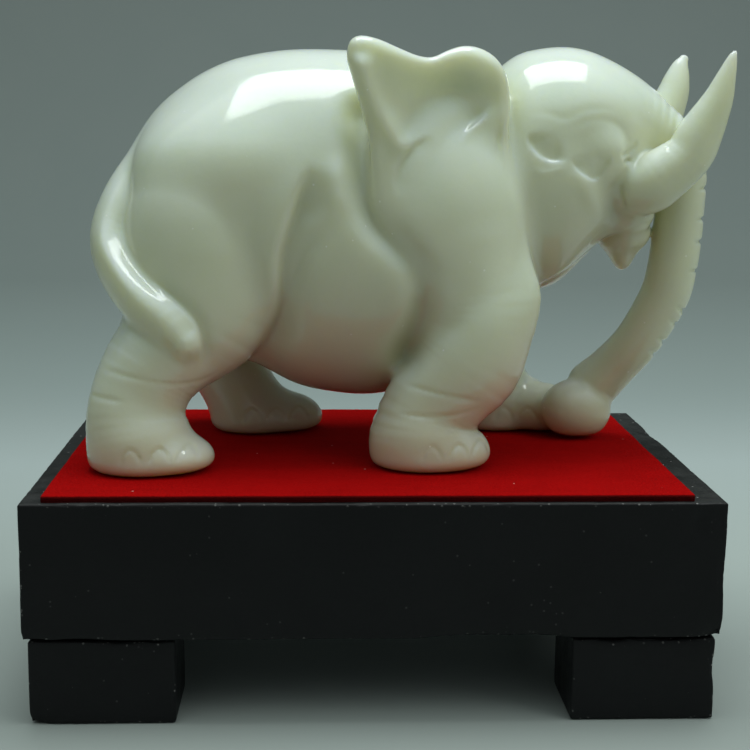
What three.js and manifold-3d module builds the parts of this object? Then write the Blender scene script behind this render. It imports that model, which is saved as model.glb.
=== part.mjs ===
// An elephant carved from one piece of jade, standing on a black wooden stand with a red velvet pad.
// Millimetres, +Z up, +X towards the elephant's head, origin under the middle of the whole object.
import * as THREE from "three";
import { mergeVertices } from "three/addons/utils/BufferGeometryUtils.js";
import Module from "manifold-3d";

const wasm = await Module();
wasm.setup();

// Stand.
const BLOCK = { length: 200, depth: 140, height: 40 };
const FOOT = { length: 42, depth: 30, height: 24.8, inset: 1.5 };
const WORN_EDGE = 0.7; // chamfer on every painted wooden edge
const JOINT_GAP = 0.2; // paint or glue line between neighbouring pieces
const PAD = { left: 6, right: 9, front: 2, back: 3.5 }; // black margin left round the velvet
const VELVET_THICKNESS = 0.5;
const BOARD_THICKNESS = 1;
const BOARD_CLEARANCE = 0.3; // between the board's edge and the turned-down velvet

// Foot screws, countersunk and driven from below.
const SCREW = { shank: 2, head: 4, coneDepth: 2.5, length: 40, point: 6, recess: 0.6 };
const SCREW_SPACING = 20;
const SCREW_CLEARANCE = 0.3;
const SCREW_SIDES = 16;
const DRIVE = { span: 4.4, width: 0.9, depth: 1.4 }; // cross recess in a screw head

// Elephant: every station below is measured from the point between the four soles,
// x forwards, y towards the far side, z up.
const MIDLINE_Y = 5; // the elephant stands a little behind the middle of the stand
const SOLE_GAP = 0.2;

const BLOCK_BOTTOM = FOOT.height + JOINT_GAP;
const BLOCK_TOP = BLOCK_BOTTOM + BLOCK.height;
const BOARD_BOTTOM = BLOCK_TOP + JOINT_GAP;
const VELVET_TOP = BOARD_BOTTOM + BOARD_THICKNESS + JOINT_GAP + VELVET_THICKNESS;
const PAD_SIZE = {
  x: BLOCK.length - PAD.left - PAD.right,
  y: BLOCK.depth - PAD.front - PAD.back,
};
const PAD_CENTRE = { x: (PAD.left - PAD.right) / 2, y: (PAD.front - PAD.back) / 2 };

// ---- Materials ----

function jade() {
  return new THREE.MeshStandardMaterial({ color: 0xc9d6c4, roughness: 0.18, metalness: 0 });
}

function redVelvet() {
  return new THREE.MeshStandardMaterial({ color: 0xc0060c, roughness: 0.95, metalness: 0 });
}

function greyBoard() {
  return new THREE.MeshStandardMaterial({ color: 0x9a948a, roughness: 0.9, metalness: 0 });
}

function blackPaint() {
  return new THREE.MeshStandardMaterial({ color: 0x0c0e10, roughness: 0.5, metalness: 0 });
}

function zincSteel() {
  return new THREE.MeshStandardMaterial({ color: 0xb8b6a8, roughness: 0.35, metalness: 1 });
}

// ---- Solids ----

function solid(geometry) {
  const bare = geometry.clone();
  bare.deleteAttribute("normal");
  bare.deleteAttribute("uv");
  const merged = mergeVertices(bare, 1e-4);
  return new wasm.Manifold(
    new wasm.Mesh({
      numProp: 3,
      vertProperties: new Float32Array(merged.attributes.position.array),
      triVerts: new Uint32Array(merged.index.array),
    }),
  );
}

function geometryOf(body) {
  const mesh = body.getMesh();
  const geometry = new THREE.BufferGeometry();
  geometry.setAttribute("position", new THREE.BufferAttribute(mesh.vertProperties, 3));
  geometry.setIndex(new THREE.BufferAttribute(mesh.triVerts, 1));
  geometry.computeVertexNormals();
  return geometry;
}

function union(geometries) {
  return geometries.map(solid).reduce((all, one) => all.add(one));
}

function namedMesh(name, geometry, material, x = 0, y = 0, z = 0) {
  const mesh = new THREE.Mesh(geometry, material);
  mesh.name = name;
  mesh.position.set(x, y, z);
  return mesh;
}

// ---- Elephant ----

// A station of a limb: centre, then the radius across (sideways) and the radius up (or forwards on a leg).
const station = (x, y, z, across, up) => ({
  centre: new THREE.Vector3(x, y, z),
  radii: new THREE.Vector3(across, up, 0),
});

// A closed limb along the stations' curve: a sphere whose rings are moved to the curve and take the
// stations' radii, with a dome of the given length over each end.
function limb(stations, rings, sides, domes = [6, 6]) {
  const centres = new THREE.CatmullRomCurve3(stations.map((s) => s.centre));
  const radii = new THREE.CatmullRomCurve3(stations.map((s) => s.radii));
  const domeShare = 0.12; // share of the rings spent on each dome
  const geometry = new THREE.SphereGeometry(1, sides, rings);
  const points = geometry.attributes.position;
  const sideways = new THREE.Vector3(0, 1, 0);
  for (let i = 0; i < points.count; i++) {
    const ring = Math.acos(THREE.MathUtils.clamp(points.getY(i), -1, 1)) / Math.PI;
    const turn = Math.atan2(points.getZ(i), points.getX(i));
    const t = THREE.MathUtils.clamp((ring - domeShare) / (1 - 2 * domeShare), 0, 1);
    const intoStart = Math.max(0, 1 - ring / domeShare);
    const intoEnd = Math.max(0, 1 - (1 - ring) / domeShare);
    const rise = Math.sin((Math.max(intoStart, intoEnd) * Math.PI) / 2);
    const shrink = Math.sqrt(Math.max(0, 1 - rise * rise));
    const along = rise * (intoEnd > 0 ? domes[1] : -domes[0]);
    const tangent = centres.getTangent(t);
    const across = sideways.clone().addScaledVector(tangent, -sideways.dot(tangent)).normalize();
    const up = tangent.clone().cross(across);
    const radius = radii.getPoint(t);
    const point = centres
      .getPoint(t)
      .addScaledVector(tangent, along)
      .addScaledVector(across, Math.cos(turn) * radius.x * shrink)
      .addScaledVector(up, Math.sin(turn) * radius.y * shrink);
    points.setXYZ(i, point.x, point.y, point.z);
  }
  return geometry;
}

function ellipsoid(x, y, z, rx, ry, rz, tilt = 0, sides = 18) {
  const geometry = new THREE.SphereGeometry(1, sides, Math.round(sides * 0.7));
  geometry.scale(rx, ry, rz);
  geometry.rotateY(tilt);
  geometry.translate(x, y, z);
  return geometry;
}

function torso() {
  const stations = [
    station(-76, 0, 76, 24, 24),
    station(-62, 0, 77, 35, 37),
    station(-42, 0, 76, 42, 47),
    station(-18, 0, 74, 45, 52.5),
    station(6, 0, 72, 45, 53.5),
    station(26, 0, 74, 42, 49),
    station(44, 0, 84, 32, 40),
    station(56, 0, 90, 26, 34),
  ];
  return limb(stations, 20, 24, [8, 4]);
}

function haunch(side) {
  return ellipsoid(-56, side * 26, 62, 28, 21, 42, 0.15);
}

function shoulder(side) {
  return ellipsoid(28, side * 27, 58, 20, 19, 40, -0.1);
}

function rearLeg(side, hipX, footX) {
  const stations = [
    station(hipX, side * 29, 52, 19, 25),
    station(hipX - 2, side * 31, 36, 18, 22.5),
    station(THREE.MathUtils.lerp(hipX - 6, footX, 0.5), side * 32, 25, 16, 17),
    station(footX - 2.5, side * 32, 17, 15, 15),
    station(footX - 1, side * 32, 9, 16.5, 17.5),
    station(footX, side * 32, 1, 17, 18.5),
  ];
  return limb(stations, 14, 14, [10, 5]);
}

function frontLeg(side, shoulderX, footX) {
  const stations = [
    station(shoulderX, side * 30, 58, 17, 18),
    station(shoulderX - 1, side * 31, 44, 17.5, 19),
    station(THREE.MathUtils.lerp(shoulderX - 2, footX, 0.4), side * 32, 31, 17, 20),
    station(THREE.MathUtils.lerp(shoulderX - 2, footX, 0.85), side * 32, 20, 15, 15.5),
    station(footX, side * 32, 10, 16.5, 17),
    station(footX + 1, side * 32, 1, 17, 18),
  ];
  return limb(stations, 14, 14, [10, 5]);
}

function head() {
  const cranium = ellipsoid(64, 0, 99, 32, 27, 28.5, 0.1, 22);
  const jawStations = [
    station(50, 0, 76, 24, 24),
    station(66, 0, 82, 23, 22),
    station(80, 0, 86, 19, 22),
  ];
  const lip = ellipsoid(81, 0, 68, 9, 8, 10.5, -0.3, 14);
  return [cranium, limb(jawStations, 12, 16, [8, 8]), lip];
}

function trunk() {
  const stations = [
    station(76, 0, 99, 23, 24),
    station(88, 0, 95, 18, 19),
    station(97, 0, 87, 12, 12),
    station(100.3, 0, 76, 9, 8.2),
    station(99.5, 1, 64, 8.5, 7.8),
    station(96.5, 3, 50, 8.5, 7.8),
    station(90.5, 6, 36, 8.5, 8),
    station(82.5, 10, 23, 9, 8.8),
    station(74, 14, 9.5, 9.5, 9.8),
  ];
  return limb(stations, 26, 12, [6, 6]);
}

function tusk(side, tip) {
  const stations = [
    station(80, side * 13, 84, 9, 9),
    station(90, side * 17, 87, 9.4, 9.6),
    station(99.5, side * 20, 95.5, 7, 7.4),
    station(tip.x - 2.8, side * (tip.y - 2), tip.z - 13, 3.8, 3.9),
    station(tip.x, side * tip.y, tip.z - 2, 1.2, 1.2),
  ];
  return limb(stations, 14, 10, [4, 1.5]);
}

function ear(side) {
  const stations = [
    station(15, side * 42, 120, 6, 22),
    station(17, side * 44, 104, 7, 23),
    station(21, side * 43, 86, 8, 22),
    station(27, side * 42, 70, 8, 19),
    station(36, side * 38, 54, 7, 12),
  ];
  return limb(stations, 14, 14, [5.5, 8]);
}

function tail() {
  const stations = [
    station(-62, 0, 112, 7, 6),
    station(-77, -3, 92, 8, 6),
    station(-83, -8, 72, 8, 5.5),
    station(-78, -20, 56, 7, 6.5),
    station(-66, -34, 47, 6, 6.5),
    station(-57, -42, 39, 5, 5.5),
  ];
  return limb(stations, 18, 10, [4, 5]);
}

// Everything under the soles is ground off, so the four feet and the trunk tip stand on one plane.
function groundOff() {
  const reach = 400;
  const box = new THREE.BoxGeometry(reach, reach, reach);
  box.translate(0, 0, -reach / 2);
  return solid(box);
}

function elephantCarving() {
  const lumps = [
    torso(),
    ...head(),
    trunk(),
    tusk(-1, { x: 109, y: 27, z: 126 }),
    tusk(1, { x: 106, y: 28, z: 127 }),
    tail(),
    rearLeg(-1, -57, -67.5),
    rearLeg(1, -54, -35),
    frontLeg(-1, 33, 17.5),
    frontLeg(1, 38, 46),
  ];
  for (const side of [-1, 1]) {
    lumps.push(haunch(side), shoulder(side), ear(side));
  }
  const body = union(lumps).subtract(groundOff());
  return namedMesh("elephant_carving", geometryOf(body), jade(), 0, MIDLINE_Y, VELVET_TOP + SOLE_GAP);
}

// ---- Stand ----

// A plank standing on z = 0 with every edge broken by the same small chamfer.
function plank(length, depth, height, chamfer) {
  const outline = new THREE.Shape();
  const x = length / 2 - chamfer;
  const y = depth / 2 - chamfer;
  outline.moveTo(-x, -y);
  outline.lineTo(x, -y);
  outline.lineTo(x, y);
  outline.lineTo(-x, y);
  outline.closePath();
  const geometry = new THREE.ExtrudeGeometry(outline, {
    depth: height - 2 * chamfer,
    bevelThickness: chamfer,
    bevelSize: chamfer,
    bevelSegments: 1,
    curveSegments: 4,
  });
  geometry.translate(0, 0, chamfer);
  return geometry;
}

// The screw's outline grown by a clearance: the same profile makes the screw and its hole.
function screwProfile(grow) {
  const { shank, head, coneDepth, length, point } = SCREW;
  const tip = length + grow;
  return [
    new THREE.Vector2(0, -grow),
    new THREE.Vector2(head + grow, -grow),
    new THREE.Vector2(head + grow, 0.4),
    new THREE.Vector2(shank + grow, coneDepth + grow),
    new THREE.Vector2(shank + grow, length - point),
    new THREE.Vector2(0, tip),
  ];
}

function turned(profile, segments) {
  const geometry = new THREE.LatheGeometry(profile, segments);
  geometry.rotateX(Math.PI / 2);
  return geometry;
}

// Head down at z = 0, point up.
function screwBody() {
  const body = solid(turned(screwProfile(0), SCREW_SIDES));
  const slot = new THREE.BoxGeometry(DRIVE.span, DRIVE.width, 2 * DRIVE.depth);
  const crossSlot = new THREE.BoxGeometry(DRIVE.width, DRIVE.span, 2 * DRIVE.depth);
  return body.subtract(solid(slot)).subtract(solid(crossSlot));
}

function screwHole() {
  const mouth = new THREE.CylinderGeometry(
    SCREW.head + SCREW_CLEARANCE,
    SCREW.head + SCREW_CLEARANCE,
    2,
    SCREW_SIDES,
  );
  mouth.rotateX(Math.PI / 2);
  mouth.translate(0, 0, -1);
  return solid(turned(screwProfile(SCREW_CLEARANCE), SCREW_SIDES)).add(solid(mouth));
}

const CORNERS = [
  { name: "front_left", x: -1, y: -1 },
  { name: "front_right", x: 1, y: -1 },
  { name: "back_left", x: -1, y: 1 },
  { name: "back_right", x: 1, y: 1 },
];

const footCentre = (corner) => ({
  x: corner.x * (BLOCK.length / 2 - FOOT.inset - FOOT.length / 2),
  y: corner.y * (BLOCK.depth / 2 - FOOT.inset - FOOT.depth / 2),
});

// Screw places on one foot, from the foot's centre: x positions, outer then inner.
const screwOffsets = (corner) => [
  { name: "outer", x: (corner.x * SCREW_SPACING) / 2 },
  { name: "inner", x: (-corner.x * SCREW_SPACING) / 2 },
];

function foot(corner) {
  const { x, y } = footCentre(corner);
  let body = solid(plank(FOOT.length, FOOT.depth, FOOT.height, WORN_EDGE));
  for (const place of screwOffsets(corner)) {
    body = body.subtract(screwHole().translate(place.x, 0, SCREW.recess));
  }
  return namedMesh("foot_" + corner.name, geometryOf(body), blackPaint(), x, y, 0);
}

function footScrew(corner, place) {
  const { x, y } = footCentre(corner);
  const name = "foot_screw_" + corner.name + "_" + place.name;
  return namedMesh(name, geometryOf(screwBody()), zincSteel(), x + place.x, y, SCREW.recess);
}

function plinthBlock() {
  let body = solid(plank(BLOCK.length, BLOCK.depth, BLOCK.height, WORN_EDGE));
  for (const corner of CORNERS) {
    const { x, y } = footCentre(corner);
    for (const place of screwOffsets(corner)) {
      const hole = screwHole().translate(x + place.x, y, SCREW.recess - BLOCK_BOTTOM);
      body = body.subtract(hole);
    }
  }
  return namedMesh("plinth_block", geometryOf(body), blackPaint(), 0, 0, BLOCK_BOTTOM);
}

function padBoard() {
  const smaller = 2 * (VELVET_THICKNESS + BOARD_CLEARANCE);
  const geometry = plank(PAD_SIZE.x - smaller, PAD_SIZE.y - smaller, BOARD_THICKNESS, 0.2);
  return namedMesh("pad_board", geometry, greyBoard(), PAD_CENTRE.x, PAD_CENTRE.y, BOARD_BOTTOM);
}

// A shallow tray turned upside down: the sheet over the board and its turned-down edges.
function velvetSheet() {
  const bottom = BLOCK_TOP + JOINT_GAP / 2;
  const height = VELVET_TOP - bottom;
  const wall = 2 * VELVET_THICKNESS;
  const pocketHeight = height - VELVET_THICKNESS;
  const outside = plank(PAD_SIZE.x, PAD_SIZE.y, height, 0.3);
  const pocket = new THREE.BoxGeometry(PAD_SIZE.x - wall, PAD_SIZE.y - wall, 2 * pocketHeight);
  const body = solid(outside).subtract(solid(pocket));
  return namedMesh("velvet_sheet", geometryOf(body), redVelvet(), PAD_CENTRE.x, PAD_CENTRE.y, bottom);
}

function stand() {
  const group = new THREE.Group();
  group.add(plinthBlock(), padBoard(), velvetSheet());
  for (const corner of CORNERS) {
    group.add(foot(corner));
    for (const place of screwOffsets(corner)) {
      group.add(footScrew(corner, place));
    }
  }
  return group;
}

// ---- Whole object ----

function figurine() {
  const group = new THREE.Group();
  group.add(stand(), elephantCarving());
  const extent = new THREE.Box3().setFromObject(group, true);
  group.position.x = -(extent.min.x + extent.max.x) / 2; // the tusk overhangs, so the stand sits off centre
  return group;
}

export default figurine();
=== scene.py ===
"""A jade elephant on a black stand with a red velvet pad: the looks, built round the CAD frame."""

import math

import bpy
import numpy as np
from mathutils import Matrix, Vector, noise


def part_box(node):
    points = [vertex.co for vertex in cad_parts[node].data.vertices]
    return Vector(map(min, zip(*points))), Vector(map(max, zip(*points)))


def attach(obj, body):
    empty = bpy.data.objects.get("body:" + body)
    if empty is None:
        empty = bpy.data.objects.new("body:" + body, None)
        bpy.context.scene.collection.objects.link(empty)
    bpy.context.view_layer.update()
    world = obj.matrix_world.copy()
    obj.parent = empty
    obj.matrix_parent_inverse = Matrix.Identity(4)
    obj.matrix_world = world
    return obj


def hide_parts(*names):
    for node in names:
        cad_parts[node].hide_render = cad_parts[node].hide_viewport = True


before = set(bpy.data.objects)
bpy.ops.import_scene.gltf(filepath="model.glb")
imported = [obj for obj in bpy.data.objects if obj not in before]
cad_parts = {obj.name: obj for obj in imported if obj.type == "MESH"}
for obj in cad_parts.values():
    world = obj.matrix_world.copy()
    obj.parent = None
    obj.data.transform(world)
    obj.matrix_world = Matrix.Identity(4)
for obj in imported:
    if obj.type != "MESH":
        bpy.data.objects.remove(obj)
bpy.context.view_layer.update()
MM = 0.001

# The carving is sculpted in millimetres from the point between its four soles:
# x forwards, y towards the far side, z up. Near is the side that faces the camera (negative y).
CARVING_LOW, CARVING_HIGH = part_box("elephant_carving")
PLINTH_LOW, PLINTH_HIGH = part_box("plinth_block")
SOLE_ORIGIN = Vector((
    (PLINTH_LOW.x + PLINTH_HIGH.x) / 2,
    (CARVING_LOW.y + CARVING_HIGH.y) / 2,
    CARVING_LOW.z,
))
NEAR, FAR = -1, 1

GRID_STEP = 0.75  # mm between samples of the sculpted surface
FAR_AWAY = 60.0  # field value given to points a form cannot reach


# ---- Fields: negative inside the stone, positive outside, in millimetres ----

def join(a, b, k):
    """Union of two fields with a fillet of about k millimetres."""
    h = np.clip(0.5 + 0.5 * (b - a) / k, 0, 1)
    return b + (a - b) * h - k * h * (1 - h)


def smoothstep(low, high, v):
    t = np.clip((v - low) / (high - low), 0, 1)
    return t * t * (3 - 2 * t)


def spline(rows, u):
    """Place and slope along the smooth curve through the rows, at station numbers u."""
    rows = np.asarray(rows, float)
    padded = np.vstack([2 * rows[0] - rows[1], rows, 2 * rows[-1] - rows[-2]])
    i = np.clip(u.astype(int), 0, len(rows) - 2)
    t = (u - i)[:, None]
    a, b, c, d = padded[i], padded[i + 1], padded[i + 2], padded[i + 3]
    first, second, third = c - a, 2 * a - 5 * b + 4 * c - d, 3 * b - a - 3 * c + d
    place = b + 0.5 * (first * t + second * t**2 + third * t**3)
    slope = 0.5 * (first + 2 * second * t + 3 * third * t**2)
    return place, slope


def smooth_line(rows, spans_each):
    """The curve through the rows as a polyline with so many spans from row to row."""
    return spline(rows, np.linspace(0, len(rows) - 1, (len(rows) - 1) * spans_each + 1))[0]


def near_box(p, low, high, reach):
    low, high = np.asarray(low) - reach, np.asarray(high) + reach
    return np.flatnonzero(np.all((p >= low) & (p <= high), axis=1))


def limb(p, stations, power=2.0, reach=16):
    """A form swept along stations (x, y, z, radius sideways, radius up) with rounded ends; power under 2
    gives it a crest."""
    spans_each = 3
    rows = smooth_line(stations, spans_each)
    centres = rows[:, :3].astype(np.float32)
    thick = rows[:, 3:5].max(axis=1)[:, None]
    value = np.full(len(p), FAR_AWAY, np.float32)
    chosen = near_box(p, (centres - thick).min(0), (centres + thick).max(0), reach)
    if not len(chosen):
        return value
    q = p[chosen]
    closest = np.full(len(q), 1e9, np.float32)
    station = np.zeros(len(q), np.float32)
    for i in range(len(centres) - 1):
        span = centres[i + 1] - centres[i]
        v = q - centres[i]
        t = np.clip(v @ span / (span @ span), 0, 1)
        apart = ((v - t[:, None] * span) ** 2).sum(1)
        closer = apart < closest
        closest[closer] = apart[closer]
        station[closer] = (i + t[closer]) / spans_each
    place, slope = spline(stations, station)
    axis = slope[:, :3] / np.linalg.norm(slope[:, :3], axis=1)[:, None]
    across = np.array([0.0, 1.0, 0.0]) - axis * axis[:, 1:2]
    across /= np.linalg.norm(across, axis=1)[:, None]
    up = np.cross(axis, across)
    v = q - place[:, :3]
    wide, high = place[:, 3], place[:, 4]
    along = (v * axis).sum(1)
    first_cap, last_cap = min(stations[0][3:5]), min(stations[-1][3:5])
    long = np.where(station <= 0, first_cap, np.where(station >= len(stations) - 1, last_cap, high))
    a = np.abs((v * across).sum(1)) / wide
    b = np.abs((v * up).sum(1)) / high
    c = np.abs(along) / long
    k0 = np.sqrt((a**power + b**power) ** (2 / power) + c * c)
    k1 = np.sqrt((a / wide) ** 2 + (b / high) ** 2 + (c / long) ** 2) + 1e-6
    value[chosen] = k0 * (k0 - 1) / k1
    return value


def natural_curve(stations, x):
    """Columns 1 onwards of the stations at the places x of column 0, along curves with no jump in bend."""
    rows = np.asarray(stations, float)
    place, columns = rows[:, 0], rows[:, 1:]
    gap = np.diff(place)
    slope = np.diff(columns, axis=0) / gap[:, None]
    matrix = np.eye(len(rows))
    wanted = np.zeros_like(columns)
    for i in range(1, len(rows) - 1):
        matrix[i, i - 1 : i + 2] = gap[i - 1], 2 * (gap[i - 1] + gap[i]), gap[i]
        wanted[i] = 6 * (slope[i] - slope[i - 1])
    bend = np.linalg.solve(matrix, wanted)
    x = np.clip(x, place[0], place[-1])
    i = np.clip(np.searchsorted(place, x) - 1, 0, len(rows) - 2)
    t, h = (x - place[i])[:, None], gap[i][:, None]
    lean = slope[i] - h * (2 * bend[i] + bend[i + 1]) / 6
    return columns[i] + t * lean + t**2 * bend[i] / 2 + t**3 * (bend[i + 1] - bend[i]) / (6 * h)


def hull(p, stations, back, front, reach=20):
    """A bulky form with upright sections: stations (x, centre z, radius sideways, radius up). The form closes
    behind and in front along ellipses, each from a place x to its tip."""
    value = np.full(len(p), FAR_AWAY, np.float32)
    rows = np.asarray(stations, float)
    low = (back[1], -rows[:, 2].max(), (rows[:, 1] - rows[:, 3]).min())
    high = (front[1], rows[:, 2].max(), (rows[:, 1] + rows[:, 3]).max())
    chosen = near_box(p, low, high, reach)
    if not len(chosen):
        return value
    x, y, z = p[chosen].astype(float).T
    centre, wide, tall = natural_curve(stations, x).T
    a, b = np.abs(y) / wide, (z - centre) / tall
    behind, ahead = back[0] - back[1], front[1] - front[0]
    c = np.maximum((back[0] - x) / behind, 0) + np.maximum((x - front[0]) / ahead, 0)
    long = np.where(x < back[0], behind, ahead)
    k0 = np.sqrt(a * a + b * b + c * c)
    k1 = np.sqrt((a / wide) ** 2 + (b / tall) ** 2 + (c / long) ** 2) + 1e-6
    value[chosen] = k0 * (k0 - 1) / k1
    return value


def lump(p, centre, radii, tilt=0.0, reach=14):
    """An ellipsoid, tilted nose-down by tilt radians about the sideways axis."""
    value = np.full(len(p), FAR_AWAY, np.float32)
    wide = max(radii)
    chosen = near_box(p, np.asarray(centre) - wide, np.asarray(centre) + wide, reach)
    if not len(chosen):
        return value
    v = p[chosen] - np.asarray(centre)
    ct, st = math.cos(tilt), math.sin(tilt)
    x = v[:, 0] * ct - v[:, 2] * st
    z = v[:, 0] * st + v[:, 2] * ct
    q = np.stack([x, v[:, 1], z], axis=1) / np.asarray(radii)
    k0 = np.linalg.norm(q, axis=1)
    k1 = np.linalg.norm(q / np.asarray(radii), axis=1) + 1e-6
    value[chosen] = k0 * (k0 - 1) / k1
    return value


def stroke(p, points, reach):
    """How points lie to a curve drawn on the side view (x, z): signed distance (positive on its left) and
    the share of the curve's length passed, for the points within reach."""
    rows = smooth_line(points, 4)
    low, high = rows.min(0) - reach, rows.max(0) + reach
    x, z = p[:, 0], p[:, 2]
    chosen = np.flatnonzero((x > low[0]) & (x < high[0]) & (z > low[1]) & (z < high[1]))
    x, z = x[chosen], z[chosen]
    lengths = np.linalg.norm(np.diff(rows, axis=0), axis=1)
    passed = np.concatenate([[0], np.cumsum(lengths)])
    best = np.full(len(chosen), 1e9)
    signed = np.full(len(chosen), 1e9)
    share = np.zeros(len(chosen))
    for i in range(len(rows) - 1):
        dx, dz = (rows[i + 1] - rows[i]) / lengths[i]
        vx, vz = x - rows[i, 0], z - rows[i, 1]
        t = np.clip(vx * dx + vz * dz, 0, lengths[i])
        ex, ez = vx - t * dx, vz - t * dz
        d = np.hypot(ex, ez)
        closer = d < best
        best[closer] = d[closer]
        signed[closer] = (np.sign(dx * vz - dz * vx) * d)[closer]
        share[closer] = ((passed[i] + t) / passed[-1])[closer]
    return chosen, signed, share


def side_weight(p, side, fade=6.0):
    """1 on one side of the animal, 0 on the other; side 0 is both."""
    if side == 0:
        return np.ones(len(p))
    return smoothstep(0, fade, side * p[:, 1])


def carve(value, p, points, depth, left, right, side=0, ends=0.25):
    """Sinks a groove (or with a negative depth raises a ridge) along a curve drawn on the side view; left
    and right are how far it spreads to each side, and ends is the share of the curve over which it fades."""
    reach = 3 * max(left, right)
    chosen, signed, share = stroke(p, points, reach)
    if not len(chosen):
        return value
    width = np.where(signed > 0, left, right)
    fade = smoothstep(0, ends, share) * smoothstep(0, ends, 1 - share)
    amount = depth * np.exp(-((signed / width) ** 2)) * fade
    value[chosen] += (amount * side_weight(p[chosen], side)).astype(np.float32)
    return value


# ---- The elephant's forms ----

# Stations of a hull: (x, centre z, radius sideways, radius up).
TORSO = [
    (-70, 75, 38.5, 46.4),
    (-60, 75.5, 38.5, 44.7),
    (-53.4, 76.2, 39.3, 44.7),
    (-46, 75.8, 41.4, 46.4),
    (-36, 75.5, 44, 48.9),
    (-25, 73.4, 45.6, 52.5),
    (-12, 71.8, 46.2, 54.3),
    (2, 71.1, 46, 54.3),
    (20, 73.2, 43, 50.6),
    (33, 77, 38, 47.6),
    (44, 79, 35, 47),
]
RUMP, CHEST = (-40, -78), (22, 50)
HEAD = [
    (40, 86, 30, 36.5),
    (46, 86.8, 31, 38.2),
    (53, 88.6, 31.8, 38.2),
    (60, 90.1, 31.8, 37.5),
    (68, 93.4, 29.6, 33.4),
    (75, 95.8, 26, 28.5),
    (82, 98.3, 21, 22.4),
    (89, 99.6, 15, 16.3),
    (96, 98.6, 9.5, 10.4),
]
NAPE, BRIDGE = (50, 24), (92, 102)
# Stations of a limb: (x, y, z, radius sideways, radius up). The curves further on are drawn on the side view.
TRUNK = [
    (80, 0, 97.5, 19, 20),
    (87, 0, 97.2, 15.3, 16.8),
    (93, 0, 95.4, 12.6, 13),
    (97.8, 0, 91.8, 10.4, 10.4),
    (100.3, 0, 86, 9, 8.7),
    (100.7, 0, 78.5, 8.5, 7.9),
    (100.2, 0.3, 68, 8.2, 8),
    (99.1, 1, 57, 8.1, 8),
    (97, 2.5, 47.5, 8.1, 8),
    (89.8, 6, 33.2, 8, 7.6),
    (82.6, 9.6, 23.8, 8.2, 7.7),
    (76.5, 12, 17, 9, 8.6),
]
TRUNK_NOTCHES = (0.28, 0.37, 0.44, 0.53, 0.645, 0.69, 0.755, 0.8)  # shares of the trunk's length
KNOB_RIM = [(62, 20.5), (68, 21.4), (74, 20.6), (79.5, 17.6), (82.6, 12)]
REAR_LEG = {
    NEAR: [
        (-50, -27, 60, 17, 22),
        (-53, -29, 48, 17.5, 21.5),
        (-59.6, -30.5, 38, 17, 17),
        (-66.6, -32.5, 29, 16, 15),
        (-70, -34, 21.5, 15, 14.5),
        (-71, -35.5, 15, 15, 14.9),
        (-70, -37, 8, 16, 16),
        (-68.6, -38, 2, 16, 16.6),
    ],
    FAR: [
        (-51, 27, 60, 17, 22),
        (-55, 29, 44, 17.5, 19.5),
        (-53, 31, 32, 16, 15.5),
        (-48, 30, 21, 15, 12.6),
        (-42.5, 28, 12, 15.5, 12.6),
        (-38, 26, 3, 16, 15),
    ],
}
FRONT_LEG = {
    NEAR: [
        (27, -29, 64, 15, 17),
        (32.3, -30, 52, 16.5, 15.8),
        (32.6, -31, 42, 17.5, 16.4),
        (29, -32, 32, 17, 17),
        (23, -32, 24, 15.8, 15.4),
        (17.8, -32, 16.5, 15, 14.6),
        (16.4, -32.5, 9, 16, 16.8),
        (16.8, -33, 2, 16, 17),
    ],
    FAR: [
        (28, 29, 64, 15, 18),
        (34, 30, 50, 16.5, 16.5),
        (37.5, 31, 36, 16, 15.5),
        (40.5, 32, 25, 14, 13),
        (44, 32, 13, 15.5, 14),
        (46, 32, 2, 16.5, 17),
    ],
}
TOES = [
    ((-60.6, -38, 3.4), (13.2, 14.5, 7.4)),
    ((23.6, -33, 4.2), (13, 14.5, 8.4)),
    ((-29.5, 26, 4), (15, 14.5, 8.5)),
    ((53, 31, 6.5), (15.3, 14.5, 10.6)),
    ((61, 22, 6.5), (11, 10, 9.6)),
]
TAIL = [
    (-55, 0, 107.5, 9, 4),
    (-61, -5, 100.5, 9, 7),
    (-68.8, -12, 88, 10, 8),
    (-75, -18, 76.5, 11, 8),
    (-76.8, -23, 67.5, 11, 8.2),
    (-74.4, -30, 59.4, 10.5, 8),
    (-67.8, -38, 50.8, 9.5, 7.6),
    (-60.6, -42.5, 44.6, 8, 7.2),
    (-55.5, -44.5, 39.4, 6, 5.6),
]
TAIL_EDGE = [(-66, 59), (-59, 53), (-54, 48.4), (-51, 44.4), (-49.8, 39), (-49.8, 34), (-52, 29)]
TAIL_CREST = [(-69, 99), (-77, 84), (-81, 70), (-75.6, 61.4), (-67.4, 54), (-58, 49), (-53.2, 42)]
TUSK = {
    NEAR: [
        (78, -14, 83.8, 7, 7.2),
        (82.5, -17, 84.2, 8.6, 8.6),
        (86.2, -19, 85.1, 8.9, 8.9),
        (89.6, -20.3, 87.7, 8.6, 8.7),
        (97.1, -22, 94, 7.3, 7.5),
        (100.4, -22.7, 100.5, 6.6, 7),
        (105, -24, 110.5, 4.6, 4.8),
        (107.2, -24.6, 117.5, 3, 3.1),
        (108.8, -25, 123.2, 1.5, 1.6),
        (109.5, -25.2, 125, 0.8, 0.8),
    ],
    FAR: [
        (78, 14, 84, 7, 7.2),
        (82.5, 17, 84.5, 8.6, 8.6),
        (87, 20, 87, 8.8, 8.8),
        (93.5, 22.5, 93.5, 8, 8),
        (98.5, 24.5, 103, 6.9, 6.9),
        (103, 26, 113.4, 5.4, 5.5),
        (104.5, 26.6, 118.7, 4.3, 4.4),
        (105.7, 27, 123.2, 2.8, 2.9),
        (106.8, 27.2, 125.6, 1.5, 1.6),
    ],
}
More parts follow.
